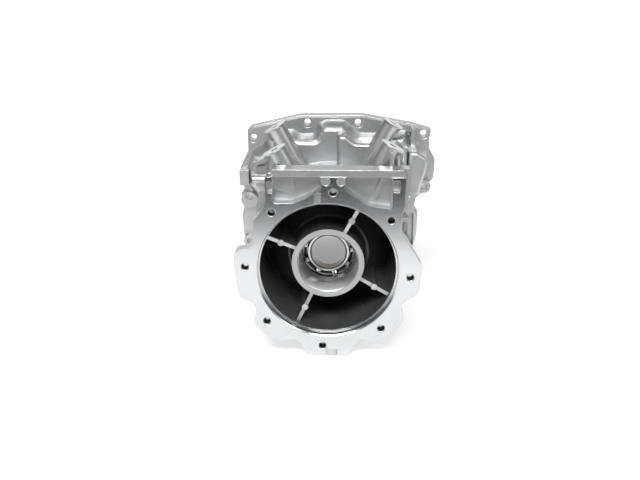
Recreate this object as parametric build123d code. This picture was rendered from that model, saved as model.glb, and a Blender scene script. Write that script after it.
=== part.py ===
# Transmission adapter: a die-cast aluminium housing with a ball bearing in its hub.
# Millimetres. X runs to the right, Y runs from the round front flange to the rear flange, Z is up.
# The origin is on the main bore's axis, in the machined face of the front flange.
from build123d import *
from math import atan2, cos, hypot, pi, radians, sin, sqrt, tan
import os

os.makedirs("parts", exist_ok=True)

# Front flange and main bore
register_r = 86.0
register_depth = 10.0
register_chamfer = 1.6
register_step = 2.0
flange_t = 15.0
lobe_r = 115.0
valley_r = 97.5
scallop_angles = (-153.0, -112.5, -66.0, -24.0)
scallop_half_angle = 9.5
scallop_fillet = 15.0
lobe_fillet = 12.0
lobe_crown = 1.0
bolt_circle_r = 101.0
bolt_count = 8
bolt_first_angle = 86.6
thread_r = 4.3
thread_mouth_r = 5.2
foot_z = -115.6
foot_left = -12.0
foot_right = 20.4
foot_slot_x = 9.0
foot_slot_w = 11.0
foot_slot_h = 10.0
foot_slot_t = 1.6

# Frame above the front flange
frame_left = -74.0
frame_right = 91.0
frame_top = 130.5
frame_depth = 22.0
bar_left = -66.0
bar_right = 88.0
bar_bottom = 119.6
bar_front_top = 127.8
bar_recess = 1.6
bar_depth = 12.0
bar_back_drop = 5.0
shoulder_left = -89.6
shoulder_right = 88.2
pocket_depth = 17.0
pocket_floor_step = 2.5
pocket_step_x = -41.0
post_strip_reach = 5.0
web_left = -8.2
web_right = 20.0
web_dimples = (-2.5, 15.2)
web_dimple_z = 114.3
web_dimple_r = 5.2
web_dimple_depth = 1.2
notch_x = -12.3
notch_w = 7.3
notch_top = 99.9
notch_low = 70.0
notch_depth = 9.0
post_slot_w = 8.4
post_slot_h = 13.6
post_slot_depth = 9.0
post_slot_fillet = 1.6
post_slot_left = (-67.5, 106.8)
post_slot_right = (80.2, 108.6)
brace_w = 5.5
brace_tilt = 21.0
brace_foot = (50.0, 76.0)
brace_length = 46.0
brace_rise = 3.0

# Barrel, diaphragm and hub
barrel_wall = 8.0
barrel_rear_r = 97.0
hub_face_y = 27.4
hub_wall = 8.0
hub_draft = 4.0
ledge_w = 3.0
ledge_y = 66.0
diaphragm_rim_y = 103.0
diaphragm_t = 6.5
spoke_count = 4
spoke_first_angle = 63.5
spoke_t = 4.6
spoke_rim_y = 20.0
spoke_setback = 0.8
knob_r = 4.1
knob_place_r = 65.0
knob_proud = 1.2
seat_chamfer = 1.2
shoulder_lip = 4.5
shoulder_t = 6.0
hub_tail = 14.0
hub_tail_wall = 9.0
rear_rib_count = 8
rear_rib_t = 5.0
rear_rib_depth = 26.0

# Rear bell and flange
flange_rear_y = 178.0
flange_rear_t = 14.5
rim_band_t = 6.0
rim_draft = 3.0
rim_step = 0.8
rear_edge_reach = 30.0
rear_corner_fillet = 8.0
rear_foot_half = 42.0
bell_front_y = 160.0
bell_slope = 8.5
bell_wall = 6.5
bell_edge_r = 4.0
bulge_front_y = 148.0
bulge_left_x = 9.0
bulge_peak_z = 137.0
bulge_shelf_z = 126.5
chamber_front_y = 132.0
chamber_slope = 4.5
chamber_edge_r = 3.0
pillar_r = 4.0
pillar_x = 100.0
pillar_low = 44.0
pillar_top = 117.0
rear_hole_r = 4.5
spot_face_r = 8.0
spot_face_depth = 1.2
rear_arc_hole_reach = 20.5
rear_arc_angles = (-168.0, -143.0, -119.0, -61.0, -37.0, -20.0)
rear_upper_holes = [(-106.1, 125.7), (-31.4, 147.5), (37.7, 147.5), (128.0, 132.6)]
rear_side_holes = [(-113.4, 42.0), (131.0, 60.0)]
arc_lobe_r = 9.0
corner_slots = (101.8, 106.3)
corner_slot_w = 3.5
corner_slot_z = (128.5, 134.8)
side_lug_r = 11.8

# Splayed mounting bosses
boss_tilt = 27.0
pad_r = 14.6
pad_t = 2.2
stem_r = 11.6
stem_root_r = 12.8
stem_offset = 3.0
boss_length = 74.0
boss_thread_depth = 26.0
fin_t = 8.0
fin_reach = 12.4
fin_drop = 36.0
boss_centres = {
    "front_left": (-64.2, 26.0, 146.0),
    "front_right": (76.2, 29.0, 151.1),
    "rear_left": (-74.6, 150.0, 146.5),
    "rear_right": (84.6, 152.0, 152.2),
}
gusset_t = 3.6
gusset_y = 31.0
rail_foot_z = 40.0
rail_crown = 4.0
rail_fillet = 3.0
bump_r = 3.5
clip_low_y = 25.4
clip_high_y = 42.0

# Ball bearing and its snap ring
bearing_bore_r = 22.5
bearing_outer_r = 37.5
bearing_w = 16.0
bearing_front_y = 66.8
ring_chamfer = 0.9
ball_count = 9
ball_first_angle = 84.3
race_conformity = 1.04
ball_gap = 0.10
cage_t = 0.9
cage_gap = 0.18
rivet_r = 0.75
rivet_head_r = 1.25
rivet_head_t = 0.5
clip_t = 2.4
clip_groove_depth = 1.6
clip_radial_w = 5.0
clip_axial_gap = 0.1
clip_gap_angle = -62.0
clip_gap_half = 9.0
clip_lug_r = 4.0
clip_eye_r = 1.2

# Derived places
barrel_in_r = register_r - register_step
barrel_out_r = barrel_in_r + barrel_wall
rear_edge_r = barrel_rear_r + rear_edge_reach
rear_arc_hole_r = barrel_rear_r + rear_arc_hole_reach
ring_section = bearing_outer_r - bearing_bore_r
inner_land_r = bearing_bore_r + 0.3267 * ring_section
outer_land_r = bearing_outer_r - 0.24 * ring_section
ball_r = 0.291 * ring_section
ball_pitch_r = (bearing_bore_r + bearing_outer_r) / 2
cage_inner_r = ball_pitch_r - 0.1 * ring_section
cage_outer_r = ball_pitch_r + 0.1333 * ring_section
hub_face_r = bearing_outer_r + hub_wall
hub_root_r = hub_face_r + hub_draft
ledge_r = hub_root_r + ledge_w
bearing_mid_y = bearing_front_y + bearing_w / 2
bearing_rear_y = bearing_front_y + bearing_w
rear_face_y = flange_rear_y + flange_rear_t
shoulder_r = bearing_outer_r - shoulder_lip
hub_end_y = bearing_rear_y + hub_tail
clip_front_y = bearing_front_y - clip_axial_gap - clip_t
clip_outer_r = bearing_outer_r + clip_groove_depth


def polar(radius, angle):
    return (radius * cos(radians(angle)), radius * sin(radians(angle)))


def slab(face, y_low, y_high):
    """Extrude an outline drawn in X and Z from one depth to another."""
    return extrude(Plane.XZ.offset(-y_low) * face, amount=y_low - y_high)


def turned(points):
    """Revolve a closed profile of (radius, Y) points about the bore axis."""
    return revolve(make_face(Polyline(*points, close=True)), axis=Axis.Y)


def block(x_low, x_high, y_low, y_high, z_low, z_high):
    size = (x_high - x_low, y_high - y_low, z_high - z_low)
    centre = ((x_low + x_high) / 2, (y_low + y_high) / 2, (z_low + z_high) / 2)
    return Pos(*centre) * Box(*size)


def rod(radius, x, z, y_low, y_high):
    """A cylinder along Y."""
    return slab(Pos(x, z) * Circle(radius), y_low, y_high)


def prism(points, x_low, x_high):
    """Extrude an outline drawn in Y and Z from one side to another."""
    face = make_face(Polyline(*points, close=True))
    return extrude(Plane.YZ.offset(x_low) * face, amount=x_high - x_low)


def limited_radii(corners):
    """Trim each corner's fillet to what its two neighbouring runs allow."""
    radii = []
    count = len(corners)
    for i, (x, z, radius) in enumerate(corners):
        x0, z0, _ = corners[i - 1]
        x1, z1, _ = corners[(i + 1) % count]
        turn = atan2(z1 - z, x1 - x) - atan2(z - z0, x - x0)
        turn = abs((turn + pi) % (2 * pi) - pi)
        run = min(hypot(x - x0, z - z0), hypot(x1 - x, z1 - z))
        radii.append(min(radius, 0.47 * run / max(tan(turn / 2), 0.01)))
    return radii


def outline(corners):
    """A closed outline from (x, z, fillet) corners."""
    points = [(x, z) for x, z, _ in corners]
    return make_face(FilletPolyline(*points, radius=limited_radii(corners), close=True))


def inset(corners, distance):
    """Move every side of a clockwise or anticlockwise outline inwards by a distance."""
    count = len(corners)
    area = 0
    for i in range(count):
        area += corners[i - 1][0] * corners[i][1] - corners[i][0] * corners[i - 1][1]
    sign = 1 if area > 0 else -1
    moved = []
    for i, (x, z, radius) in enumerate(corners):
        x0, z0, _ = corners[i - 1]
        x1, z1, _ = corners[(i + 1) % count]
        before = Vector(x - x0, z - z0).normalized()
        after = Vector(x1 - x, z1 - z).normalized()
        n0 = Vector(-before.Y, before.X) * sign
        n1 = Vector(-after.Y, after.X) * sign
        mitre = (n0 + n1) * (distance / (1 + n0.dot(n1)))
        convex = (before.X * after.Y - before.Y * after.X) * sign > 0
        new_radius = radius - distance if convex else radius + distance
        moved.append((x + mitre.X, z + mitre.Y, max(new_radius, 1.0)))
    return moved


def tapered(corners, y_front, y_back, slope, edge_r):
    """A block with sloping sides that grows from a softened front edge back to the full outline."""
    stages = [(y_back, 0.0)]
    if edge_r > 0:
        stages.append((y_front + edge_r, slope - edge_r * slope / (y_back - y_front)))
        stages.append((y_front + 0.3 * edge_r, slope + 0.3 * edge_r))
        stages.append((y_front, slope + edge_r))
    else:
        stages.append((y_front, slope))
    faces = [Plane.XZ.offset(-y) * outline(inset(corners, amount)) for y, amount in stages]
    return loft(faces, ruled=True)


# Front flange, frame and foot

def front_corners():
    """The lobed flange outline from the left lobe round the bottom to the right lobe, then the frame."""
    corners = [(-112.5, 28.5, 9.0), (*polar(lobe_r, 176.0), 30.0)]
    for number, angle in enumerate(scallop_angles):
        corners.append((*polar(lobe_r, angle - scallop_half_angle), lobe_fillet))
        corners.append((*polar(valley_r, angle), scallop_fillet))
        corners.append((*polar(lobe_r, angle + scallop_half_angle), lobe_fillet))
        if number in (0, 2):
            middle = (angle + scallop_angles[number + 1]) / 2
            corners.append((*polar(lobe_r + lobe_crown, middle), 40.0))
        if number == 1:
            corners.append((foot_left, foot_z, 5.0))
            corners.append((foot_right, foot_z, 3.0))
    corners.append((*polar(lobe_r, 5.0), 12.0))
    corners.append((shoulder_right, 53.0, 12.0))
    corners.append((shoulder_right, 75.0, 8.0))
    corners.append((frame_right, 83.0, 8.0))
    corners.append((frame_right, bar_bottom, 3.0))
    corners.append((bar_right, bar_bottom, 0.6))
    corners.append((bar_right, frame_top, 2.0))
    corners.append((bar_left, frame_top, 2.0))
    corners.append((bar_left, bar_bottom, 2.0))
    corners.append((frame_left, bar_bottom, 4.0))
    corners.append((frame_left, 84.0, 16.0))
    corners.append((shoulder_left, 64.0, 16.0))
    corners.append((shoulder_left, 38.0, 9.0))
    corners.append((-98.0, 28.5, 10.0))
    return corners


def front_plate():
    plate = slab(outline(front_corners()), 0, flange_t)
    frame = [
        (bar_left, frame_top - bar_back_drop, 3.0),
        (frame_left, bar_bottom - 2, 3.0),
        (frame_left, 84.0, 16.0),
        (shoulder_left + 4, 66.0, 4.0),
        (0.0, 40.0, 0.0),
        (shoulder_right - 2, 66.0, 4.0),
        (frame_right, 83.0, 8.0),
        (frame_right, frame_top - bar_back_drop, 3.0),
    ]
    strip = block(frame_right - 8, frame_right + post_strip_reach, flange_t, frame_depth + 8,
                  76.0, bar_bottom + 7)
    return plate + slab(outline(frame), flange_t, frame_depth) + strip - front_bar_relief()


def front_bar_relief():
    """The bar's as-cast front face, its sloping top and the lower ledge behind it."""
    left = bar_left - 1
    right = bar_right + 1
    back_y = bar_depth + bar_recess
    front = block(left, right, -1, bar_recess, bar_bottom, frame_top + 1)
    slope = prism([(-1, bar_front_top), (bar_recess, bar_front_top), (back_y, frame_top),
                   (back_y, frame_top + 1), (-1, frame_top + 1)], left, right)
    back = block(left, right, back_y, frame_depth + 1, frame_top - bar_back_drop, frame_top + 1)
    return front + slope + back


def left_pocket():
    corners = [
        (-65.6, bar_bottom, 2.0),
        (-65.6, 87.4, 3.0),
        (-42.9, 87.4, 6.0),
        (-26.0, 94.0, 6.0),
        (web_left, 104.0, 2.0),
        (web_left, bar_bottom, 2.0),
    ]
    whole = slab(outline(corners), -1, pocket_depth)
    raised = [
        (frame_left, frame_top, 0.0),
        (pocket_step_x, frame_top, 0.0),
        (pocket_step_x, 80.0, 0.0),
        (-46.5, 80.0, 0.0),
        (-46.5, 90.0, 3.0),
        (-50.0, 96.6, 3.0),
        (-58.0, 98.4, 3.0),
        (frame_left, 103.5, 0.0),
    ]
    return whole - slab(outline(raised), pocket_depth - pocket_floor_step, pocket_depth + 1)


def right_pocket():
    corners = [
        (web_right, bar_bottom, 2.0),
        (web_right, 104.5, 3.0),
        (46.5, 85.6, 8.0),
        (75.6, 80.5, 3.0),
        (75.6, bar_bottom, 2.0),
    ]
    return slab(outline(corners), -1, pocket_depth)


def right_brace():
    """The raised brace that crosses the right pocket under the boss."""
    lean = radians(brace_tilt)
    foot = brace_foot
    top = (foot[0] + brace_length * sin(lean), foot[1] + brace_length * cos(lean))
    half = brace_w / 2
    side = (half * cos(lean), -half * sin(lean))
    corners = [
        (foot[0] - side[0], foot[1] - side[1]),
        (foot[0] + side[0], foot[1] + side[1]),
        (top[0] + side[0], top[1] + side[1]),
        (top[0] - side[0], top[1] - side[1]),
    ]
    face = make_face(Polyline(*corners, close=True))
    return slab(face, pocket_depth - brace_rise, pocket_depth + 1)


def post_slot(place):
    face = Pos(*place) * RectangleRounded(post_slot_w, post_slot_h, post_slot_fillet)
    return slab(face, -1, post_slot_depth)


def web_details():
    """Two as-cast dimples and the drain notch in the machined web."""
    cut = Part()
    for x in web_dimples:
        cut += rod(web_dimple_r, x, web_dimple_z, -1, web_dimple_depth)
    half = notch_w / 2
    return cut + block(notch_x - half, notch_x + half, -1, notch_depth, notch_low, notch_top)


def front_bolt_holes():
    holes = Part()
    for number in range(bolt_count):
        x, z = polar(bolt_circle_r, bolt_first_angle + number * 360 / bolt_count)
        mouth = thread_mouth_r - thread_r
        hole = turned([(0, -1), (thread_mouth_r + 1, -1), (thread_r, mouth),
                       (thread_r, frame_depth + 6), (0, frame_depth + 6)])
        holes += Pos(x, 0, z) * hole
    return holes


def foot_slots():
    """The as-cast recess and the narrow grooves in the foot's face."""
    low = foot_z - 1
    high = foot_z + foot_slot_h
    shallow = block(foot_slot_x - foot_slot_w, foot_slot_x, -1, foot_slot_t, low, high)
    groove = block(foot_slot_x + 1.5, foot_slot_x + 3.5, -1, foot_slot_t * 2, low, high)
    return shallow + groove


# Barrel, hub and diaphragm

def barrel():
    return turned([
        (0, flange_t - 1),
        (barrel_out_r, flange_t - 1),
        (barrel_out_r, ledge_y),
        (barrel_rear_r, bell_front_y),
        (barrel_rear_r, flange_rear_y + 1),
        (0, flange_rear_y + 1),
    ])


def front_chamber():
    """What is hollow in front of the diaphragm, round the hub."""
    return turned([
        (0, -1),
        (register_r + register_chamfer + 1, -1),
        (register_r, register_chamfer),
        (register_r, register_depth),
        (barrel_in_r, register_depth),
        (barrel_in_r, diaphragm_rim_y),
        (ledge_r, ledge_y),
        (hub_root_r, ledge_y),
        (hub_face_r, hub_face_y),
        (0, hub_face_y),
    ])


def hub_bore():
    """Bearing seat with its ring groove, shoulder and the opening behind it."""
    return turned([
        (0, hub_face_y - 1),
        (bearing_outer_r + seat_chamfer + 1, hub_face_y - 1),
        (bearing_outer_r, hub_face_y + seat_chamfer),
        (bearing_outer_r, clip_front_y - clip_axial_gap),
        (clip_outer_r, clip_front_y - clip_axial_gap),
        (clip_outer_r, bearing_front_y - clip_axial_gap / 2),
        (bearing_outer_r, bearing_front_y - clip_axial_gap / 2),
        (bearing_outer_r, bearing_rear_y),
        (shoulder_r, bearing_rear_y),
        (shoulder_r, bearing_rear_y + shoulder_t),
        (shoulder_r + 3, bearing_rear_y + shoulder_t + 3),
        (shoulder_r + 3, hub_end_y + 1),
        (0, hub_end_y + 1),
    ])


def rear_chamber():
    """What is hollow behind the diaphragm, inside the barrel."""
    slope = (diaphragm_rim_y - ledge_y) / (barrel_in_r - ledge_r)
    tail_r = shoulder_r + 3 + hub_tail_wall
    tail_y = ledge_y + diaphragm_t + slope * (tail_r - ledge_r) + 4
    back = rear_face_y + 1
    return turned([
        (0, hub_end_y),
        (tail_r, hub_end_y),
        (tail_r + 1, tail_y),
        (barrel_in_r, diaphragm_rim_y + diaphragm_t + 2),
        (barrel_in_r + 2, bell_front_y),
        (barrel_in_r + 2, back),
        (0, back),
    ])


def spokes():
    """Radial webs from hub to barrel in front of the diaphragm, each with a round knob."""
    slope = (diaphragm_rim_y - ledge_y) / (barrel_in_r - ledge_r)
    inner = (hub_face_r + hub_root_r) / 2 - 3
    outer = barrel_in_r + 1
    profile = Polyline(
        (inner, hub_face_y + spoke_setback),
        (outer, spoke_rim_y),
        (outer, diaphragm_rim_y + 2),
        (ledge_r, ledge_y + 2),
        (inner, ledge_y + 2),
        close=True,
    )
    web = extrude(Plane.XY * make_face(profile), amount=spoke_t / 2, both=True)
    edge_slope = (hub_face_y - spoke_rim_y) / (outer - inner)
    knob_front = hub_face_y - (knob_place_r - inner) * edge_slope - knob_proud
    knob = rod(knob_r, knob_place_r, 0, knob_front, ledge_y + slope * (knob_place_r - ledge_r) + 2)
    arm = web + knob
    whole = Part()
    for number in range(spoke_count):
        whole += Rot(0, -(spoke_first_angle + number * 360 / spoke_count), 0) * arm
    return whole


def rear_ribs():
    """Radial ribs that stiffen the back of the diaphragm."""
    slope = (diaphragm_rim_y - ledge_y) / (barrel_in_r - ledge_r)
    tail_r = shoulder_r + 3 + hub_tail_wall
    start = tail_r - 2
    root = ledge_y + slope * (start - ledge_r) + 3
    profile = Polyline(
        (start, root),
        (barrel_in_r + 1, diaphragm_rim_y + 3),
        (barrel_in_r + 1, diaphragm_rim_y + rear_rib_depth),
        (start, hub_end_y - 1),
        close=True,
    )
    rib = extrude(Plane.XY * make_face(profile), amount=rear_rib_t / 2, both=True)
    whole = Part()
    for number in range(rear_rib_count):
        whole += Rot(0, -(spoke_first_angle + number * 360 / rear_rib_count), 0) * rib
    return whole


# Rear bell and flange

def rear_corners():
    """The rear flange's outline, from the top left corner anticlockwise seen from the front."""
    left = [
        (-39.6, 157.0, 12.0),
        (-109.5, 141.0, rear_corner_fillet),
        (-116.0, 134.0, rear_corner_fillet),
        (-116.2, 103.5, 6.0),
        (-128.0, 79.0, 5.0),
        (-128.2, 58.0, 6.0),
        (-122.0, 50.5, 3.0),
        (-128.4, 40.0, 8.0),
        (-124.0, 24.0, 6.0),
        (-127.6, 8.0, 20.0),
    ]
    right = [
        (126.6, 16.0, 12.0),
        (121.2, 25.0, 6.0),
        (123.6, 38.5, 4.0),
        (129.6, 44.0, 3.0),
        (137.4, 45.0, 5.0),
        (138.4, 58.6, 3.0),
        (146.8, 67.0, 6.0),
        (147.2, 93.5, 10.0),
        (138.2, 110.0, 8.0),
        (138.2, 126.0, 4.0),
        (141.0, 138.0, rear_corner_fillet),
        (109.0, 146.4, 10.0),
        (42.4, 157.8, 12.0),
    ]
    flat_half = sqrt(rear_edge_r ** 2 - foot_z ** 2)
    corners = list(left)
    turns = (-170.0, -155.0, -140.0, -125.0)
    for angle in turns:
        corners.append((*polar(rear_edge_r + 1, angle), 60.0))
    corners.append((-flat_half, foot_z, 10.0))
    corners.append((flat_half, foot_z, 10.0))
    for angle in reversed(turns):
        corners.append((*polar(rear_edge_r + 1, -180.0 - angle), 60.0))
    return corners + right


def rear_flange():
    """A flange whose rim is drafted in two bands that meet at a small step."""
    band_y = flange_rear_y + rim_band_t
    front_stages = [(flange_rear_y, rim_draft), (band_y, rim_draft / 2 + rim_step)]
    back_stages = [(band_y, rim_draft / 2), (rear_face_y, 0.0)]
    whole = Part()
    for stages in (front_stages, back_stages):
        faces = [Plane.XZ.offset(-y) * outline(inset(rear_corners(), amount)) for y, amount in stages]
        whole += loft(faces, ruled=True)
    foot = block(-rear_foot_half, rear_foot_half, flange_rear_y + 2, rear_face_y, foot_z, foot_z + 8)
    return whole + foot


def bell_corners():
    """Where the bell meets the rear flange: it dips round the bolt holes at the top."""
    return [
        (20.0, 151.3, 9.0),
        (-7.0, 151.3, 12.0),
        (-16.5, 146.0, 10.0),
        (-22.0, 132.0, 14.0),
        (-41.0, 132.0, 14.0),
        (-52.0, 138.5, 12.0),
        (-88.0, 134.0, 6.0),
        (-90.0, 119.0, 10.0),
        (-108.0, 107.0, 8.0),
        (-117.0, 82.0, 12.0),
        (-114.0, 56.0, 12.0),
        (-104.0, 42.0, 14.0),
        (-107.0, 8.0, 30.0),
        (-104.0, -40.0, 40.0),
        (-74.0, -76.0, 40.0),
        (-36.0, -96.5, 40.0),
        (36.0, -96.5, 40.0),
        (74.0, -76.0, 40.0),
        (104.0, -40.0, 40.0),
        (109.0, 8.0, 30.0),
        (108.0, 46.0, 12.0),
        (124.0, 62.0, 10.0),
        (136.0, 72.0, 10.0),
        (137.0, 96.0, 12.0),
        (124.0, 119.0, 10.0),
        (110.0, 126.0, 8.0),
        (106.0, 138.0, 6.0),
        (60.0, 133.2, 14.0),
        (39.0, 133.2, 10.0),
        (28.0, 144.0, 9.0),
    ]


def bulge_core():
    """The plain part of the bell's nearer half, right of its step."""
    return [
        (bulge_left_x, 60.0, 3.0),
        (100.0, 60.0, 8.0),
        (104.0, 112.0, 10.0),
        (92.0, bulge_shelf_z, 8.0),
    ]


def bulge_corners():
    """The nearer half with its raised corner beside the step."""
    return bulge_core() + [
        (35.0, bulge_shelf_z, 12.0),
        (21.0, bulge_peak_z, 8.0),
        (bulge_left_x, bulge_peak_z, 5.0),
    ]


def chamber_corners():
    """The side chamber right of the barrel."""
    return [
        (101.5, 120.5, 5.0),
        (101.5, 54.0, 4.0),
        (123.5, 54.0, 6.0),
        (132.4, 87.7, 20.0),
        (134.9, 102.0, 10.0),
        (131.5, 112.0, 6.0),
        (117.0, 121.0, 8.0),
    ]


def bell():
    body = tapered(bell_corners(), bell_front_y, flange_rear_y + 1, bell_slope, bell_edge_r)
    bulge_base = inset(bulge_corners(), -2.0)
    body += tapered(bulge_base, bulge_front_y, bell_front_y + 8, 5.0, 3.0)
    body += tapered(chamber_corners(), chamber_front_y, flange_rear_y + 1, chamber_slope, chamber_edge_r)
    pillar_y = chamber_front_y + 9
    middle = Pos(pillar_x, pillar_y, (pillar_low + pillar_top) / 2)
    pillar = middle * Cylinder(pillar_r, pillar_top - pillar_low)
    back = block(pillar_x - pillar_r + 1, pillar_x + pillar_r - 1, pillar_y, bell_front_y + 4,
                 pillar_low, pillar_top)
    return body + pillar + back


def bell_hollow():
    """The bell's inside, a wall in from its outside, open at the rear face."""
    back = rear_face_y + 1
    open_corners = inset(bell_corners(), bell_wall)
    hollow = slab(outline(open_corners), flange_rear_y, back)
    hollow += tapered(open_corners, bell_front_y + bell_wall, flange_rear_y, bell_slope, 0)
    bulge_inner = inset(bulge_core() + [(bulge_left_x, bulge_shelf_z, 5.0)], bell_wall - 2.0)
    hollow += tapered(bulge_inner, bulge_front_y + bell_wall, bell_front_y + 9, 5.0, 0)
    return hollow + chamber_hollow()


def chamber_hollow():
    inner = [
        (108.0, 114.0, 2.0),
        (108.0, 61.0, 2.0),
        (118.5, 61.0, 3.0),
        (126.0, 88.0, 8.0),
        (128.0, 101.0, 5.0),
        (120.0, 112.5, 4.0),
    ]
    return tapered(inner, chamber_front_y + bell_wall, flange_rear_y, chamber_slope, 0)


def rear_holes():
    """Through holes for the rear flange's bolts, the upper ones spot-faced."""
    low = [polar(rear_arc_hole_r, angle) for angle in rear_arc_angles]
    holes = Part()
    for x, z in rear_upper_holes + rear_side_holes + low:
        holes += rod(rear_hole_r, x, z, flange_rear_y - 40, rear_face_y + 1)
    for x, z in rear_upper_holes:
        holes += rod(spot_face_r, x, z, flange_rear_y - 1, flange_rear_y + spot_face_depth)
    return holes


def flange_recesses():
    """The two slots in the flange's top right corner and the long pocket low on its right."""
    slots = Part()
    for x in corner_slots:
        slots += block(x, x + corner_slot_w, flange_rear_y - 4, flange_rear_y + 8, *corner_slot_z)
    pocket = [
        (107.8, 18.0, 3.0),
        (107.8, -34.0, 4.0),
        (120.0, -34.0, 4.0),
        (119.0, 18.0, 3.0),
    ]
    return slots + slab(outline(pocket), flange_rear_y - 2, rear_face_y - 3)


# Bosses and braces

def boss_plane(centre):
    """The pad's plane: it faces up and outwards, with local X along the bore and local Y inwards."""
    lean = radians(boss_tilt) if centre[0] > 0 else -radians(boss_tilt)
    along = (0, 1, 0) if centre[0] > 0 else (0, -1, 0)
    return Plane(origin=centre, x_dir=along, z_dir=(sin(lean), 0, cos(lean)))


def boss(centre):
    """A round pad on a thinner stem, with a fin under the pad's outer half."""
    pad = Pos(0, 0, -pad_t / 2) * Cylinder(pad_r, pad_t)
    stem = Pos(0, stem_offset, -boss_length / 2) * Cone(stem_root_r, stem_r, boss_length)
    side = Plane.YZ * make_face(Polyline((0, -1), (-fin_reach, -1), (-fin_reach, -pad_t - 2),
                                         (0, -fin_drop), close=True))
    fin = extrude(side, amount=fin_t / 2, both=True)
    return boss_plane(centre) * (pad + stem + fin)


def boss_thread(centre):
    depth = boss_thread_depth
    return boss_plane(centre) * (Pos(0, 0, -depth / 2 + 0.5) * Cylinder(thread_r, depth + 1))


def gussets():
    """Flat webs that brace the front bosses inwards, and a rib under the right pad."""
    half = gusset_t / 2
    shapes = [
        (gusset_y, [(-49.0, 143.0), (-29.5, 124.0), (-24.0, 86.0), (-60.0, 86.0)]),
        (gusset_y, [(58.5, 149.0), (41.0, 125.0), (34.0, 84.0), (66.0, 84.0)]),
    ]
    whole = Part()
    for y, points in shapes:
        whole += slab(make_face(Polyline(*points, close=True)), y - half, y + half)
    return whole + block(72.0, 75.2, 11.0, 24.0, bar_bottom + 2, 147.0)


def rail(x_low, x_peak, x_high, top):
    """A rib with a rounded crest, its foot buried in the barrel."""
    shoulder = top - rail_crown
    return outline([(x_low, rail_foot_z, 0), (x_low, shoulder, rail_fillet), (x_peak, top, rail_fillet),
                    (x_high, shoulder, rail_fillet), (x_high, rail_foot_z, 0)])


def side_rails():
    """Long ribs at both sides that join the front frame to the bell."""
    end = bell_front_y + 6
    left = rail(-84.0, -76.0, -70.0, 100.0)
    right = rail(72.0, 78.0, 88.0, 102.0)
    return slab(left, flange_t, end) + slab(right, flange_t, end)


def left_bracket():
    """The stepped bracket outside the left post, under the pad's long strip."""
    plane = boss_plane(boss_centres["front_left"])
    strip = plane * (Pos(-1.0, -pad_r - 3.0, -5.0) * Box(13.0, 22.0, 5.0))
    wall = block(-88.0, frame_left + 2, 30.0, 40.0, 104.0, 134.0)
    lip = block(-87.5, -77.5, 25.4, 31.0, 119.5, 125.6)
    stub = Pos(-82.0, 29.0, 108.0) * Rot(0, 90, 0) * Cylinder(5.5, 19.0)
    ledge = block(-87.0, frame_left + 1, 24.0, 40.0, 101.0, 108.0)
    return strip + wall + lip + stub + ledge


def right_bumps():
    """Small bosses and the clip bracket along the right of the barrel."""
    whole = Pos(82.0, 62.0, 77.2) * Rot(0, 90, 0) * Cylinder(bump_r, 40.0)
    whole += Pos(82.4, 42.0, 115.8) * Cylinder(bump_r, 36.0)
    whole += block(70.0, 86.0, flange_t + 5, 44.0, 97.0, 108.0)
    whole += block(70.0, 98.5, clip_low_y, clip_high_y, 56.0, 61.5)
    whole += block(70.0, 99.5, clip_low_y, clip_high_y, 36.5, 39.5)
    whole += block(95.8, 97.8, clip_low_y, clip_high_y, 38.0, 58.0)
    return whole


def lug_bosses():
    """Bosses on the rear flange's front face at the side lugs."""
    whole = rod(side_lug_r, -113.4, 37.5, flange_rear_y - 10, flange_rear_y + 1)
    whole += block(-126.0, -113.0, flange_rear_y - 13, flange_rear_y + 2, 60.5, 81.5)
    whole += block(110.2, 114.9, flange_rear_y - 12, flange_rear_y + 2, 118.0, 142.0)
    whole += rod(arc_lobe_r, *rear_side_holes[1], flange_rear_y - 12, flange_rear_y + 1)
    for angle in rear_arc_angles:
        x, z = polar(rear_arc_hole_r, angle)
        whole += rod(arc_lobe_r, x, z, flange_rear_y - 8, flange_rear_y + 1)
    return whole


def housing():
    body = front_plate() + barrel() + rear_flange() + bell()
    body += side_rails()
    body += gussets()
    for centre in boss_centres.values():
        body += boss(centre)
    body += left_bracket() + right_bumps() + lug_bosses()
    body -= front_chamber()
    body -= rear_chamber()
    body -= bell_hollow()
    body += spokes()
    body += rear_ribs()
    body -= hub_bore()
    body -= left_pocket() + right_pocket()
    body += right_brace()
    body -= post_slot(post_slot_left) + post_slot(post_slot_right)
    body -= web_details()
    body -= front_bolt_holes()
    body -= foot_slots()
    body -= rear_holes()
    body -= flange_recesses()
    for centre in boss_centres.values():
        body -= boss_thread(centre)
    return body


# Ball bearing

def race_groove():
    """The ring-shaped space that the balls' path cuts into both rings."""
    groove_r = ball_r * race_conformity + ball_gap
    circle = Pos(ball_pitch_r, bearing_mid_y) * Circle(groove_r)
    return revolve(Plane.XY * circle, axis=Axis.Y)


def ring(inner_r, outer_r):
    """A plain bearing ring with a chamfer at each of its four edges."""
    return turned([
        (inner_r + ring_chamfer, bearing_front_y),
        (outer_r - ring_chamfer, bearing_front_y),
        (outer_r, bearing_front_y + ring_chamfer),
        (outer_r, bearing_rear_y - ring_chamfer),
        (outer_r - ring_chamfer, bearing_rear_y),
        (inner_r + ring_chamfer, bearing_rear_y),
        (inner_r, bearing_rear_y - ring_chamfer),
        (inner_r, bearing_front_y + ring_chamfer),
    ])


def inner_ring():
    return ring(bearing_bore_r, inner_land_r) - race_groove()


def outer_ring():
    return ring(outer_land_r, bearing_outer_r) - race_groove()


def ball_angle(number):
    return ball_first_angle + number * 360 / ball_count


def ball(number):
    x, z = polar(ball_pitch_r, ball_angle(number))
    return Pos(x, bearing_mid_y, z) * Sphere(ball_r)


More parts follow.
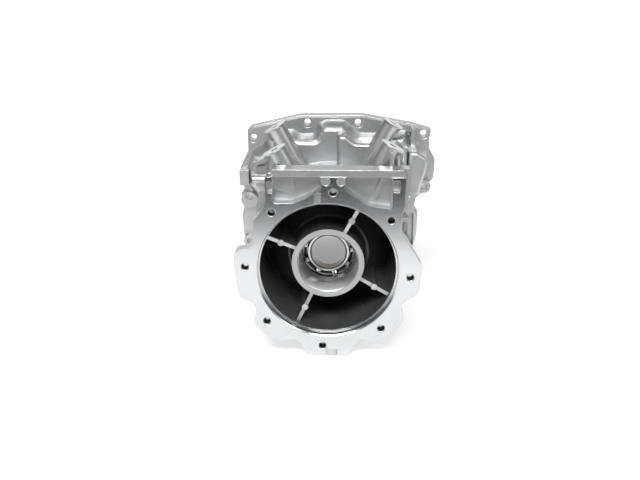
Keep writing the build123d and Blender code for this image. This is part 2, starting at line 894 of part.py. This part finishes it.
def cage_rear():
    """A stamped ring, flat between the balls and cupped round each of them."""
    half = turned([
        (cage_inner_r, bearing_mid_y),
        (cage_outer_r, bearing_mid_y),
        (cage_outer_r, bearing_mid_y + cage_t),
        (cage_inner_r, bearing_mid_y + cage_t),
    ])
    band = turned([
        (cage_inner_r, bearing_mid_y),
        (cage_outer_r, bearing_mid_y),
        (cage_outer_r, bearing_rear_y),
        (cage_inner_r, bearing_rear_y),
    ])
    pocket_r = ball_r + cage_gap
    centre = Pos(ball_pitch_r, bearing_mid_y, 0) * Rot(0, 90, 0)
    cup = (centre * Cylinder(pocket_r + cage_t, ring_section)) & band
    pocket = centre * Cylinder(pocket_r, ring_section)
    for number in range(ball_count):
        turn = Rot(0, -ball_angle(number), 0)
        half = half + turn * cup - turn * pocket
    return half - rivet_holes()


def cage_front():
    """The same stamping, facing the other way across the balls' plane."""
    return mirror(cage_rear(), about=Plane.XZ.offset(-bearing_mid_y))


def rivet_places():
    return [polar(ball_pitch_r, ball_angle(number + 0.5)) for number in range(ball_count)]


def rivet_holes():
    holes = Part()
    for x, z in rivet_places():
        holes += rod(rivet_r, x, z, bearing_mid_y - 2 * cage_t, bearing_mid_y + 2 * cage_t)
    return holes


def cage_rivets():
    rivets = []
    for x, z in rivet_places():
        rivet = rod(rivet_r, x, z, bearing_mid_y - cage_t, bearing_mid_y + cage_t)
        rivet += rod(rivet_head_r, x, z, bearing_mid_y - cage_t - rivet_head_t, bearing_mid_y - cage_t)
        rivet += rod(rivet_head_r, x, z, bearing_mid_y + cage_t, bearing_mid_y + cage_t + rivet_head_t)
        rivets.append(rivet.solid())
    return Compound(children=rivets)


def snap_ring():
    """An open ring with two drilled lugs, sprung into its groove in front of the bearing."""
    inner_r = clip_outer_r - clip_radial_w
    y_low = clip_front_y
    y_high = clip_front_y + clip_t
    face = Circle(clip_outer_r - 0.05) - Circle(inner_r)
    reach = clip_outer_r * 1.5
    mouth = [
        (0, 0),
        polar(reach, clip_gap_angle - clip_gap_half),
        polar(reach, clip_gap_angle + clip_gap_half),
    ]
    face -= make_face(Polyline(*mouth, close=True))
    lug_place_r = inner_r + 0.5
    for side in (-1, 1):
        x, z = polar(lug_place_r, clip_gap_angle + side * (clip_gap_half + 4.0))
        face += Pos(x, z) * Circle(clip_lug_r)
        face -= Pos(x, z) * Circle(clip_eye_r)
    face &= Circle(bearing_outer_r - 0.2) + (Circle(clip_outer_r - 0.05) - Circle(inner_r))
    return slab(face, y_low, y_high)


def write(name, shape):
    export_step(shape, f"parts/{name}.step")


if __name__ == "__main__":
    write("housing", housing())
    write("bearing_outer_ring", outer_ring())
    write("bearing_inner_ring", inner_ring())
    for number in range(ball_count):
        write(f"bearing_ball_{number + 1:02d}", ball(number))
    write("cage_front", cage_front())
    write("cage_rear", cage_rear())
    write("cage_rivets", cage_rivets())
    write("snap_ring", snap_ring())
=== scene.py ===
# The look of the transmission adapter housing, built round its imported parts.
import bpy
from math import cos, pi, radians, sin
from mathutils import Matrix, Vector


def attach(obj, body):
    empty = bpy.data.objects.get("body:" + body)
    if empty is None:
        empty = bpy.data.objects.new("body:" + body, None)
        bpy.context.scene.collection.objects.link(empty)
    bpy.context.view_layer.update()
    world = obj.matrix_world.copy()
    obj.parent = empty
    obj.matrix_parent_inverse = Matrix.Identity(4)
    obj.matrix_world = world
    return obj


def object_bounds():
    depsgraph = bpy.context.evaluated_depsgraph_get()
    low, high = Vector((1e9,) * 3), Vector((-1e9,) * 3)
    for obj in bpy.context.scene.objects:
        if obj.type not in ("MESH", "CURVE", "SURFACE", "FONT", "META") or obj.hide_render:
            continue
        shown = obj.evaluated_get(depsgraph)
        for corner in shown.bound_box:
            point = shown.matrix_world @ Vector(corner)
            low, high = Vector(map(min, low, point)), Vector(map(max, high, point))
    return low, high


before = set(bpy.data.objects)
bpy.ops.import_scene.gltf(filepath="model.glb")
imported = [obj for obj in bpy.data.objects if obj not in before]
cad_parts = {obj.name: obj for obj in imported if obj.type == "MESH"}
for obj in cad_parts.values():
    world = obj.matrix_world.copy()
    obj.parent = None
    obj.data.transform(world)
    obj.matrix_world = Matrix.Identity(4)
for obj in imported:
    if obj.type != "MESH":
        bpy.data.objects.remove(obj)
cad_box = [list(corner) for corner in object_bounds()]

# Places on the casting, in metres. The bore's axis is Y, and the front face lies at Y = 0.
# Each limit of a machined face lies a little past the face itself.
FLOOR_Z = cad_box[0][2]
FRONT_FACE_Y = 0.0003
REAR_FACE_Y = 0.1922
FOOT_Z = FLOOR_Z + 0.0002
REGISTER_R, REGISTER_Y = 0.0879, 0.0103
HUB_FACE_R, HUB_FACE_Y = 0.0505, (0.0268, 0.0279)
HUB_BORE_R, HUB_BORE_Y = 0.0384, (0.026, 0.1)
SPOKE_FRONT_Y = 0.0305
PAD_LOWEST_Z = 0.13
EDGE_ROUND = 0.0011
PAD_TILT = radians(27.0)
PAD_CENTRES = {
    "front_left": (-0.0642, 0.026, 0.146),
    "front_right": (0.0762, 0.029, 0.1511),
    "rear_left": (-0.0746, 0.150, 0.1465),
    "rear_right": (0.0846, 0.152, 0.1522),
}

# The dark chamber lies in front of the diaphragm, which meets the hub at CONE_R and CONE_Y and runs
# back from there by CONE_SLOPE for each metre outwards. Its darkness is painted shade.
CHAMBER_R, CHAMBER_Y = 0.0846, 0.0102
CONE_R, CONE_Y, CONE_SLOPE = 0.0525, 0.069, 1.1746

# How far a surface has to turn towards an axis to count as facing it
FACING = 0.9
FACING_SPOKE = 0.8
FACING_PAD = 0.995

# Bearing and cage, in metres
# The races get painted shade between the land radii.
OUTER_RING_LAND = (0.020, 0.0345)
INNER_RING_LAND = (0.0270, 0.040)
INNER_RING_BORE = 0.0242
# The cage gets a painted glint in front of CAGE_FRONT_Y.
CAGE_FRONT_Y = 0.0701

# Threads, in metres
BOLT_CIRCLE = 0.101
BOLT_COUNT = 8
BOLT_FIRST = radians(86.6)
THREAD_R = 0.0043
THREAD_PITCH = 0.0015
THREAD_RISE = 0.00042
THREAD_SUNK = 0.0002
THREAD_HALF = THREAD_PITCH * 0.46
THREAD_STEPS = 20
THREAD_FADE = 8
FRONT_THREAD = {"depth": 0.013, "start": 0.0014}
PAD_THREAD = {"depth": 0.022, "start": 0.0012}

# Camera, fitted to the photograph's frame
CAMERA_PLACE = Vector((0.0143, -0.8403, 0.3585))
CAMERA_TARGET = Vector((-0.00923, 0.0, 0.04187))
CAMERA_CLIP = (0.01, 60.0)
FOCAL_PIXELS = 750.0
FRAME_PIXELS = 640.0

# World: its brightness for reflections in front of the object and behind it, the directions between
# which that changes, and its brightness as plain light
WORLD_FRONT = 0.14
WORLD_BACK = 1.0
WORLD_EDGE = (0.40, 0.85)
WORLD_SOFT = 0.22

# Floor: it glows least in a patch behind the object where a shadow is painted, more near the object, and
# white far off.
# The fade and the patch's edge are radii, and reflections see the glow at FLOOR_SHINE.
FLOOR_R = 14.0
FLOOR_GREY = 0.72
FLOOR_GLOW = 0.17
FLOOR_NEAR = 0.58
FLOOR_FADE = (0.30, 1.2)
FLOOR_SHADE = (0.0, -0.33, 0.0)
FLOOR_SHADE_SCALE = (2.4, 1.0, 1.0)
FLOOR_SHADE_EDGE = (0.09, 0.32)
FLOOR_SHINE = 0.74

# Card in front: light at its near edge, FLAG_NEAR, and fading to dark at FLAG_FAR
FLAG_NEAR = -0.37
FLAG_FAR = -0.64
FLAG_LENGTH = 1.5
FLAG_WIDTH = 1.8
FLAG_LIFT = 0.004
FLAG_LIGHT = 1.0
FLAG_DARK = 0.0

# Lamps: place, width, height and watts
LAMP_TARGET = (0, 0.05, 0)
LAMPS = {
    "front_top_softbox": ((-0.15, -0.80, 1.05), 1.0, 0.5, 22.0),
    "side_fill": ((0.9, -0.70, 0.8), 0.4, 0.8, 3.0),
}


def grey(value, cool=0.0):
    """A grey, with a little less red and more blue where it is cool."""
    return (value - cool, value, value + cool, 1.0)


WHITE = grey(1.0)
# Painted shade for the races' lands between the rings.
LAND_SHADE = grey(0.012)
# A darker brown for the inner ring's bore.
BORE_DARK_BROWN = (0.075, 0.069, 0.06, 1.0)
# A painted glint for the cage's fronts.
PAINTED_GLINT = grey(0.72)


# Node helpers

class Tree:
    """Short calls for building the nodes of a material or of the world."""

    def __init__(self, owner, output="ShaderNodeOutputMaterial"):
        owner.use_nodes = True
        self.owner = owner
        self.tree = owner.node_tree
        self.tree.nodes.clear()
        self.out = self.node(output)

    def node(self, kind, **settings):
        made = self.tree.nodes.new(kind)
        for key, value in settings.items():
            setattr(made, key, value)
        return made

    def plug(self, socket, value):
        if isinstance(value, bpy.types.NodeSocket):
            self.tree.links.new(value, socket)
        else:
            socket.default_value = value

    def math(self, operation, a, b=0.0, c=0.0):
        made = self.node("ShaderNodeMath", operation=operation)
        for socket, value in zip(made.inputs, (a, b, c)):
            self.plug(socket, value)
        return made.outputs[0]

    def below(self, value, limit):
        return self.math("LESS_THAN", value, limit)

    def above(self, value, limit):
        return self.math("GREATER_THAN", value, limit)

    def between(self, value, limits):
        return self.both(self.above(value, limits[0]), self.below(value, limits[1]))

    def both(self, *values):
        result = values[0]
        for value in values[1:]:
            result = self.math("MULTIPLY", result, value)
        return result

    def either(self, *values):
        result = values[0]
        for value in values[1:]:
            result = self.math("MAXIMUM", result, value)
        return result

    def without(self, value):
        return self.math("SUBTRACT", 1.0, value)

    def split(self, vector):
        made = self.node("ShaderNodeSeparateXYZ")
        self.plug(made.inputs[0], vector)
        return made.outputs

    def length(self, vector):
        made = self.node("ShaderNodeVectorMath", operation="LENGTH")
        self.plug(made.inputs[0], vector)
        return made.outputs["Value"]

    def dot(self, vector, direction):
        made = self.node("ShaderNodeVectorMath", operation="DOT_PRODUCT")
        self.plug(made.inputs[0], vector)
        made.inputs[1].default_value = direction
        return made.outputs["Value"]

    def off_axis(self, x, z):
        """Distance from the bore's axis."""
        return self.math("SQRT", self.math("ADD", self.math("MULTIPLY", x, x), self.math("MULTIPLY", z, z)))

    def mapped(self, vector, **values):
        made = self.node("ShaderNodeMapping")
        for name, value in values.items():
            made.inputs[name].default_value = value
        self.plug(made.inputs["Vector"], vector)
        return made.outputs[0]

    def mix(self, factor, a, b):
        """A colour from a to b."""
        made = self.node("ShaderNodeMix", data_type="RGBA")
        self.plug(made.inputs[0], factor)
        self.plug(made.inputs[6], a)
        self.plug(made.inputs[7], b)
        return made.outputs[2]

    def blend(self, factor, a, b):
        """A number from a to b."""
        made = self.node("ShaderNodeMix", data_type="FLOAT")
        self.plug(made.inputs[0], factor)
        self.plug(made.inputs[2], a)
        self.plug(made.inputs[3], b)
        return made.outputs[0]

    def ramp(self, value, low, high, start=0.0, end=1.0, kind="LINEAR"):
        made = self.node("ShaderNodeMapRange", interpolation_type=kind)
        self.plug(made.inputs[0], value)
        for number, limit in enumerate((low, high, start, end)):
            made.inputs[number + 1].default_value = limit
        return made.outputs[0]

    def noise(self, where, scale, detail):
        made = self.node("ShaderNodeTexNoise")
        self.plug(made.inputs["Vector"], where)
        made.inputs["Scale"].default_value = scale
        made.inputs["Detail"].default_value = detail
        return made.outputs[0]

    def bump(self, height, strength, distance, normal=None):
        made = self.node("ShaderNodeBump")
        made.inputs["Strength"].default_value = strength
        made.inputs["Distance"].default_value = distance
        self.plug(made.inputs["Height"], height)
        if normal is not None:
            self.plug(made.inputs["Normal"], normal)
        return made.outputs[0]

    def glow(self, strength):
        made = self.node("ShaderNodeEmission")
        made.inputs["Color"].default_value = WHITE
        self.plug(made.inputs["Strength"], strength)
        return made.outputs[0]

    def principled(self, colour, rough, metal, normal):
        made = self.node("ShaderNodeBsdfPrincipled")
        self.plug(made.inputs["Base Color"], colour)
        self.plug(made.inputs["Roughness"], rough)
        self.plug(made.inputs["Metallic"], metal)
        self.plug(made.inputs["Normal"], normal)
        return made.outputs[0]

    def surface(self, shader):
        self.tree.links.new(shader, self.out.inputs["Surface"])


def new_material(name):
    return Tree(bpy.data.materials.new(name))


def pad_normal(side):
    return (side * sin(PAD_TILT), 0.0, cos(PAD_TILT))


# Materials

def casting_masks(t, where, facing):
    """Masks over the casting: machined faces, the chamber's painted shade, and the hub's front face and
    bore.
    """
    x, y, z = t.split(where)
    along = t.split(facing)[1]
    radius = t.off_axis(x, z)
    forward = t.below(along, -FACING)
    front = t.both(t.below(y, FRONT_FACE_Y), forward)
    rear = t.both(t.above(y, REAR_FACE_Y), t.above(along, FACING))
    register = t.both(t.below(y, REGISTER_Y), t.below(radius, REGISTER_R))
    hub_face = t.both(t.below(radius, HUB_FACE_R), t.between(y, HUB_FACE_Y), forward)
    hub_bore = t.both(t.below(radius, HUB_BORE_R), t.between(y, HUB_BORE_Y))
    pads = [t.above(t.dot(facing, pad_normal(side)), FACING_PAD) for side in (-1, 1)]
    pad_faces = t.both(t.either(*pads), t.above(z, PAD_LOWEST_Z))
    foot = t.below(z, FOOT_Z)
    cut = t.either(front, rear, register, hub_bore, pad_faces, foot)
    outwards = t.math("MAXIMUM", t.math("SUBTRACT", radius, CONE_R), 0.0)
    cone_y = t.math("MULTIPLY_ADD", outwards, CONE_SLOPE, CONE_Y)
    chamber = t.both(t.below(radius, CHAMBER_R), t.above(y, CHAMBER_Y), t.below(y, cone_y))
    spoke_front = t.both(t.below(y, SPOKE_FRONT_Y), t.below(along, -FACING_SPOKE))
    # Painted shade: the chamber's walls, but not the spokes' fronts or the hub's bore.
    dark = t.both(chamber, t.without(spoke_front), t.without(hub_bore))
    return cut, dark, hub_face, hub_bore


def cast_aluminium():
    """Grained grey casting, bright where it is machined, glossy and near black with painted shade in the
    chamber.
    """
    t = new_material("cast_aluminium")
    coords = t.node("ShaderNodeTexCoord")
    where, facing = coords.outputs["Object"], coords.outputs["Normal"]
    cut, dark, hub_face, hub_bore = casting_masks(t, where, facing)

    grain = t.noise(where, scale=900.0, detail=4.0)
    cloud = t.noise(where, scale=34.0, detail=3.0)
    stain = t.ramp(t.noise(where, scale=11.0, detail=5.0), low=0.35, high=0.7)
    streak = t.noise(t.mapped(where, Scale=(1.0, 1.0, 6.0)), scale=90.0, detail=2.0)

    stain_share = 0.35
    cast = t.mix(t.ramp(cloud, low=0.3, high=0.7), grey(0.52, 0.005), grey(0.61, 0.004))
    cast = t.mix(t.both(stain, stain_share), cast, grey(0.45, 0.002))
    milled = t.mix(t.ramp(streak, low=0.3, high=0.7), grey(0.62, 0.012), grey(0.66, 0.011))
    hub_front = t.mix(cloud, grey(0.37, 0.002), grey(0.47, 0.002))
    bored = grey(0.84, 0.006)
    # Painted shade: near black over the chamber, where shade falls.
    chamber_shade = t.mix(cloud, grey(0.032, 0.001), grey(0.080, 0.001))
    colour = t.mix(cut, t.mix(hub_face, cast, hub_front), milled)
    colour = t.mix(dark, t.mix(hub_bore, colour, bored), chamber_shade)

    # Wide limits on a ramp keep the roughness it gives within a narrow band.
    cast_rough = t.ramp(grain, low=-0.9, high=2.9)
    milled_rough = t.ramp(streak, low=-0.8, high=6.4)
    bored_rough = 0.30
    chamber_shade_rough = t.blend(cloud, 0.16, 0.30)
    rough = t.blend(hub_bore, t.blend(cut, cast_rough, milled_rough), bored_rough)
    rough = t.blend(dark, rough, chamber_shade_rough)

    cast_metal, hub_front_metal, milled_metal, chamber_shade_metal = 0.90, 0.35, 0.96, 0.0
    metal = t.blend(cut, t.blend(hub_face, cast_metal, hub_front_metal), milled_metal)
    metal = t.blend(dark, metal, chamber_shade_metal)

    edges = t.node("ShaderNodeBevel", samples=4)
    edges.inputs["Radius"].default_value = EDGE_ROUND
    as_cast = t.without(t.either(cut, dark))
    swells = t.bump(t.both(cloud, as_cast), strength=0.25, distance=0.002, normal=edges.outputs[0])
    normal = t.bump(t.both(grain, as_cast), strength=0.12, distance=0.0004, normal=swells)
    t.surface(t.principled(colour, rough, metal, normal))
    return t.owner


def steel(name, low, high, rough, ring=1200.0, shaded_land=None, bore=0.0, glint_front_y=0.0):
    """Steel with faint turned rings, painted shade on its land, darker and browner in its bore, and a
    painted glint in front of a given depth.
    """
    t = new_material(name)
    where = t.node("ShaderNodeTexCoord").outputs["Object"]
    x, y, z = t.split(where)
    radius = t.off_axis(x, z)
    ring_slant, ring_rough, ring_bump, ring_depth = 0.7, 0.12, 0.08, 0.0002
    rings = t.node("ShaderNodeTexNoise", noise_dimensions="1D")
    t.plug(rings.inputs["W"], t.math("ADD", radius, t.math("MULTIPLY", y, ring_slant)))
    rings.inputs["Scale"].default_value = ring
    turned = rings.outputs[0]
    colour = t.mix(t.noise(where, scale=45.0, detail=4.0), low, high)
    # Painted shade over the land between the given radii.
    if shaded_land is not None:
        colour = t.mix(t.between(radius, shaded_land), colour, LAND_SHADE)
    # Darker and browner in the bore.
    if bore > 0.0:
        colour = t.mix(t.below(radius, bore), colour, BORE_DARK_BROWN)
    # Painted glint in front of the given depth.
    if glint_front_y > 0.0:
        colour = t.mix(t.below(y, glint_front_y), colour, PAINTED_GLINT)
    roughness = t.math("MULTIPLY_ADD", turned, ring_rough, rough)
    normal = t.bump(turned, ring_bump, ring_depth)
    t.surface(t.principled(colour, roughness, metal=1.0, normal=normal))
    return t.owner


def floor_material():
    """A floor that glows white for the camera and less for reflections, keeps the object's shadow, and has
    a shadow painted behind the object.
    """
    t = new_material("studio_floor")
    diffuse = t.node("ShaderNodeBsdfDiffuse")
    diffuse.inputs["Color"].default_value = grey(FLOOR_GREY)
    path = t.node("ShaderNodeLightPath").outputs
    where = t.node("ShaderNodeTexCoord").outputs["Object"]
    reflected = t.math("MULTIPLY", path["Is Glossy Ray"], FLOOR_SHINE)
    seen = t.either(path["Is Camera Ray"], reflected, path["Is Transmission Ray"])
    # Painted shadow: the glow drops to FLOOR_GLOW in a patch behind the object.
    from_shade = t.length(t.mapped(where, Location=FLOOR_SHADE, Scale=FLOOR_SHADE_SCALE))
    open_floor = t.blend(t.ramp(t.length(where), *FLOOR_FADE), FLOOR_NEAR, 1.0)
    level = t.blend(t.ramp(from_shade, *FLOOR_SHADE_EDGE), FLOOR_GLOW, open_floor)
    add = t.node("ShaderNodeAddShader")
    t.plug(add.inputs[0], diffuse.outputs[0])
    t.plug(add.inputs[1], t.glow(t.both(seen, level)))
    t.surface(add.outputs[0])
    return t.owner


def dress_nodes():
    """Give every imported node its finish."""
    # The cage's fronts get a painted glint.
    cage = steel("cage_steel", grey(0.012), grey(0.025), rough=0.26, glint_front_y=CAGE_FRONT_Y)
    finishes = {
        "housing": cast_aluminium(),
        "bearing_outer_ring": steel("ring_steel", grey(0.42, 0.004), grey(0.52, 0.004),
                                    rough=0.16, shaded_land=OUTER_RING_LAND),
        "bearing_inner_ring": steel("ring_steel_inner", grey(0.50, 0.004), grey(0.58, 0.004),
                                    rough=0.12, shaded_land=INNER_RING_LAND, bore=INNER_RING_BORE),
        "cage_front": cage,
        "cage_rear": cage,
        "cage_rivets": cage,
        "snap_ring": steel("spring_steel", grey(0.10), grey(0.15), rough=0.30),
    }
    ball_finish = steel("ball_steel", grey(0.70, 0.004), grey(0.78, 0.004), rough=0.06)
    for name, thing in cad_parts.items():
        finish = finishes.get(name, ball_finish)
        if not thing.material_slots:
            thing.data.materials.append(finish)
        for slot in thing.material_slots:
            slot.material = finish


# Threads

def thread_mesh(name, depth, start):
    """A helical ridge that lines a tapped hole with its mouth at the origin and its depth along -Z."""
    crest, root = THREAD_R - THREAD_RISE, THREAD_R + THREAD_SUNK
    count = int((depth - start) / THREAD_PITCH * THREAD_STEPS)
    verts, faces = [], []
    for i in range(count + 1):
        angle = 2 * pi * i / THREAD_STEPS
        z = -start - i * THREAD_PITCH / THREAD_STEPS
        fade = min(1.0, i / THREAD_FADE, (count - i) / THREAD_FADE)
        tip = root - (root - crest) * fade
        for r, dz in ((root, THREAD_HALF), (tip, 0.0), (root, -THREAD_HALF)):
            verts.append((r * cos(angle), r * sin(angle), z + dz))
        if i:
            a, b = 3 * (i - 1), 3 * i
            faces += [(a, a + 1, b + 1, b), (a + 1, a + 2, b + 2, b + 1)]
    mesh = bpy.data.meshes.new(name)
    mesh.from_pydata(verts, [], faces)
    mesh.shade_smooth()
    return mesh


def place_threads():
    """Line the front flange's eight holes and the four pads with threads."""
    # The threads' near-black grey is painted shade in the holes.
    finish = steel("thread_in_painted_shade", grey(0.07), grey(0.13), rough=0.30, ring=300.0)
    front = thread_mesh("thread_front", **FRONT_THREAD)
    pad = thread_mesh("thread_pad", **PAD_THREAD)
    for mesh in (front, pad):
        mesh.materials.append(finish)
    places = []
    for number in range(BOLT_COUNT):
        angle = BOLT_FIRST + 2 * pi * number / BOLT_COUNT
        where = Vector((BOLT_CIRCLE * cos(angle), 0.0, BOLT_CIRCLE * sin(angle)))
        places.append((f"thread_front_{number + 1:02d}", front, where, Vector((0, -1, 0))))
    for name, centre in PAD_CENTRES.items():
        side = 1 if centre[0] > 0 else -1
        places.append((f"thread_{name}", pad, Vector(centre), Vector(pad_normal(side))))
    for name, mesh, where, axis in places:
        piece = bpy.data.objects.new(name, mesh)
        bpy.context.collection.objects.link(piece)
        turn = axis.to_track_quat("Z", "Y").to_matrix().to_4x4()
        piece.matrix_world = Matrix.Translation(where) @ turn
        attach(piece, "case")


# Studio

def add_floor():
    bpy.ops.mesh.primitive_circle_add(vertices=64, radius=FLOOR_R, fill_type="NGON",
                                      location=(0, 0, FLOOR_Z))
    floor = bpy.context.object
    floor.name = "studio_floor"
    floor.data.materials.append(floor_material())


def add_flag():
    """A card on the floor in front that fades from white to dark, which only reflections show."""
    middle = FLAG_NEAR - FLAG_LENGTH / 2
    bpy.ops.mesh.primitive_plane_add(size=1.0, location=(0.0, middle, FLOOR_Z + FLAG_LIFT))
    card = bpy.context.object
    card.name = "studio_flag"
    card.scale = (FLAG_WIDTH, FLAG_LENGTH, 1.0)
    card.visible_camera = card.visible_diffuse = card.visible_shadow = False
    t = new_material("studio_flag")
    along = t.split(t.node("ShaderNodeTexCoord").outputs["Object"])[1]
    near_edge, far_edge = 0.5, (FLAG_FAR - middle) / FLAG_LENGTH
    t.surface(t.glow(t.blend(t.ramp(along, near_edge, far_edge), FLAG_LIGHT, FLAG_DARK)))
    card.data.materials.append(t.owner)


def add_light(name, place, width, height, watts):
    lamp = bpy.data.lights.new(name, "AREA")
    lamp.shape = "RECTANGLE"
    lamp.size, lamp.size_y, lamp.energy = width, height, watts
    thing = bpy.data.objects.new(name, lamp)
    bpy.context.collection.objects.link(thing)
    thing.location = place
    thing.rotation_euler = (Vector(LAMP_TARGET) - Vector(place)).to_track_quat("-Z", "Y").to_euler()


def add_world():
    """White for the camera, from dim in front to white behind for reflections, and an even soft light."""
    world = bpy.data.worlds.new("studio_world")
    bpy.context.scene.world = world
    t = Tree(world, "ShaderNodeOutputWorld")
    path = t.node("ShaderNodeLightPath").outputs
    along = t.split(t.node("ShaderNodeTexCoord").outputs["Generated"])[1]
    reflected = t.ramp(along, *WORLD_EDGE, WORLD_FRONT, WORLD_BACK, kind="SMOOTHSTEP")
    level = t.blend(path["Is Glossy Ray"], WORLD_SOFT, reflected)
    seen = t.either(path["Is Camera Ray"], path["Is Transmission Ray"])
    back = t.node("ShaderNodeBackground")
    back.inputs["Color"].default_value = WHITE
    t.plug(back.inputs["Strength"], t.blend(seen, level, 1.0))
    t.surface(back.outputs[0])


def add_camera():
    camera = bpy.data.cameras.new("camera")
    camera.lens = camera.sensor_width * FOCAL_PIXELS / FRAME_PIXELS
    camera.clip_start, camera.clip_end = CAMERA_CLIP
    thing = bpy.data.objects.new("camera", camera)
    bpy.context.collection.objects.link(thing)
    thing.location = CAMERA_PLACE
    thing.rotation_euler = (CAMERA_TARGET - CAMERA_PLACE).to_track_quat("-Z", "Y").to_euler()
    bpy.context.scene.camera = thing


add_camera()
add_world()
add_floor()
for lamp_name, lamp_values in LAMPS.items():
    add_light(lamp_name, *lamp_values)
add_flag()
dress_nodes()
place_threads()
bpy.context.scene.view_settings.view_transform = "Standard"
